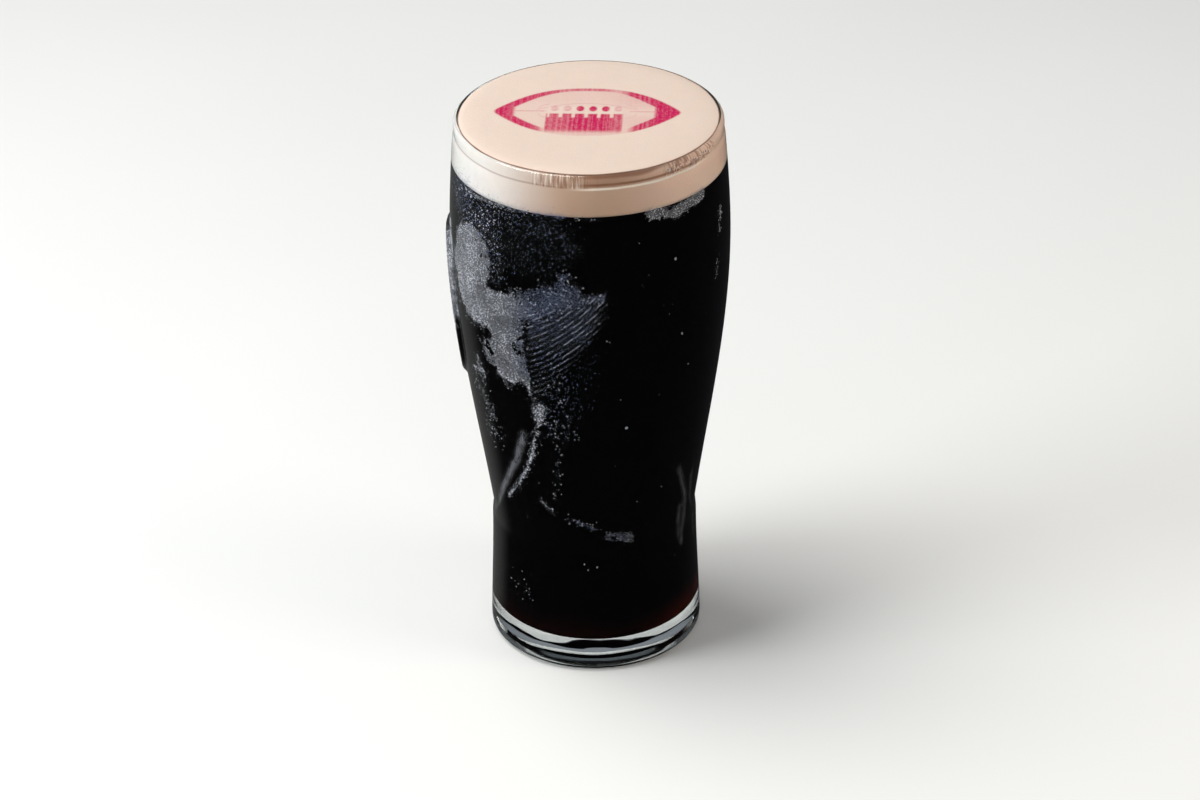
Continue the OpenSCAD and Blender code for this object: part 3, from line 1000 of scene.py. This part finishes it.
class STOUT_OT_loose_drops(bpy.types.Operator):
    """Larger drops: a few on the clear wall, and some on the rim"""

    bl_idname = "stout.loose_drops"
    bl_label = "Loose drops"

    def execute(self, context):
        g, s = in_mm("stout_glass"), in_mm("stout_drops")
        rng = np.random.default_rng(s.seed + 3)
        spots = [(36, 142.6), (40, 117), (15, 88.4), (45, 105), (12, 99), (22, 60), (-6, 38), (-4, 36),
                 (1, 37), (-57, 158), (30, 98), (36, 63), (3, 126), (6, 120)]
        sizes = [0.8, 0.7, 0.9, 0.45, 0.35, 0.4, 0.55, 0.4, 0.5, 0.8, 0.3, 0.35, 0.5, 0.4]
        count = 26
        extra = np.stack([rng.uniform(-70, 70, count), rng.uniform(30, 160, count)], 1)
        phi, z = np.concatenate([spots, extra]).T
        phi = np.radians(phi)
        radius = s.drop_radius * np.concatenate([sizes, rng.uniform(0.15, 0.3, count)])
        wall = drops_mesh(phi, z, g, radius, 1 + 0.35 * rng.random(len(phi)), 0 * phi + 1.5, 0.6, 10)
        phi, z = np.radians(rng.uniform(34, 62, count)), g.height - rng.uniform(0.8, 2.8, count)
        radius = 0.12 + 0.2 * rng.random(count)
        rim = drops_mesh(phi, z, g, radius, 1 + 0.4 * rng.random(count), 0 * phi + math.pi / 2, 0.7, 10)
        shifts = (0, len(wall[0]), len(wall[0]))
        joined = [np.concatenate([one, two + shift]) for one, two, shift in zip(wall, rim, shifts)]
        add_piece("loose_drops", *joined, "water_drops", water("drop_water", s.water, 0.82, 0.1))
        return {"FINISHED"}


class STOUT_OT_stage(bpy.types.Operator):
    """The pale floor, the soft studio lights and the camera"""

    bl_idname = "stout.stage"
    bl_label = "Stage"

    def execute(self, context):
        scene, s = context.scene, context.scene.stout_stage
        g = in_mm("stout_glass")
        columns = 96
        phi = round_angles(columns)
        radii = s.floor_radius * np.linspace(0.02, 1, 40) ** 2
        points = polar(radii[:, None], phi[None], 0 * radii[:, None]).reshape(-1, 3)
        points = np.concatenate([points, [[0, 0, 0]]])
        inner = fan(np.arange(columns)[::-1], len(points) - 1)[:, ::-1]
        outer = revolved_faces(len(radii), columns)[:, ::-1]
        mesh = bpy.data.meshes.new("floor")
        mesh.from_pydata(points, [], [*outer.tolist(), *inner.tolist()])
        n = Surface("pale_floor", Roughness=0.6, Specular_IOR_Level=0.2)
        paler = [c * 1.03 for c in s.floor]
        n.set(Base_Color=n.blend(n.ramp(n.noise(3.0), 0.3, 0.7), s.floor, paler))
        mesh.materials.append(n.material)
        floor = add_object("floor", mesh)
        floor.visible_glossy = False

        world = bpy.data.worlds.new("studio")
        scene.world = world
        world.use_nodes = True
        sky = Shading(world.node_tree, "Generated")
        behind = sky.times(sky.ramp(sky.y, 0.30, 0.62), sky.ramp(sky.x, -0.02, -0.15))
        low = sky.blend(behind, (0.04, 0.04, 0.045), (0.30, 0.31, 0.30))
        background = world.node_tree.nodes["Background"].inputs
        sky.fill(background["Color"], sky.blend(sky.ramp(sky.z, -0.12, 0.25), low, (0.62, 0.66, 0.72)))
        sky.fill(background["Strength"], 0.45)
        aim = Vector((0, 0, g.height * MM * 0.6))
        lamps = (
            ("key", (-0.45, 0.1, 1.3), 0.9, 15.0, (1.0, 0.99, 0.97)),
            ("left", (-1.15, -0.40, 0.32), 0.7, 19.0, (0.96, 0.98, 1.0)),
            ("right", (1.15, -0.35, 0.30), 0.6, 8.0, (1.0, 0.88, 0.76)),
            ("front", (0.35, -1.35, 0.20), 0.5, 2.2, (1.0, 0.94, 0.88)),
        )
        for name, place, size, power, tone in lamps:
            data = bpy.data.lights.new(name, "AREA")
            data.shape, data.size, data.energy, data.color = "DISK", size, power, tone
            lamp = add_object(name, data)
            lamp.location = place
            lamp.rotation_euler = (aim - Vector(place)).to_track_quat("-Z", "Y").to_euler()
            lamp.visible_glossy = name == "key"

        data = bpy.data.cameras.new("camera")
        data.lens, data.sensor_width, data.sensor_fit = s.focal, 36.0, "HORIZONTAL"
        data.clip_start, data.clip_end = 0.01, 50.0
        camera = add_object("camera", data)
        # The camera's circle is about this point, and the view is aimed a little beside it.
        middle, aside, lower = Vector((0, 0, 0.086)), 0.00215, 0.0078
        forward = Vector((0, math.cos(s.elevation), -math.sin(s.elevation)))
        camera.location = middle - forward * s.distance
        upward = Vector((1, 0, 0)).cross(forward)
        target = middle + Vector((aside, 0, 0)) - upward * lower
        turn = (target - camera.location).to_track_quat("-Z", "Y").to_matrix().to_4x4()
        camera.matrix_world = Matrix.Translation(camera.location) @ turn @ Matrix.Rotation(-s.roll, 4, "Z")
        scene.camera = camera
        scene.view_settings.view_transform = "Standard"
        return {"FINISHED"}


OPERATORS = (
    STOUT_OT_glass,
    STOUT_OT_stout,
    STOUT_OT_head,
    STOUT_OT_mist_beads,
    STOUT_OT_fine_beads,
    STOUT_OT_wiped_lines,
    STOUT_OT_loose_drops,
    STOUT_OT_stage,
)


class STOUT_PT_panel(bpy.types.Panel):
    """The pieces and their sizes and colours"""

    bl_idname = "STOUT_PT_panel"
    bl_label = "Pint of Stout"
    bl_space_type = "VIEW_3D"
    bl_region_type = "UI"
    bl_category = "Stout"

    def draw(self, context):
        for operator in OPERATORS:
            self.layout.operator(operator.bl_idname)
        for key, group in SETTINGS.items():
            box = self.layout.box()
            for name in group.__annotations__:
                box.prop(getattr(context.scene, key), name)


def register():
    for item in (*SETTINGS.values(), *OPERATORS, STOUT_PT_panel):
        bpy.utils.register_class(item)
    for key, group in SETTINGS.items():
        setattr(bpy.types.Scene, key, PointerProperty(type=group))


def unregister():
    for key in SETTINGS:
        delattr(bpy.types.Scene, key)
    for item in (STOUT_PT_panel, *reversed(OPERATORS), *reversed(tuple(SETTINGS.values()))):
        bpy.utils.unregister_class(item)


def main():
    """Builds every piece in order."""
    register()
    bpy.ops.stout.glass()
    bpy.ops.stout.stout()
    bpy.ops.stout.head()
    bpy.ops.stout.mist_beads()
    bpy.ops.stout.fine_beads()
    bpy.ops.stout.wiped_lines()
    bpy.ops.stout.loose_drops()
    bpy.ops.stout.stage()


if __name__ == "__main__":
    main()
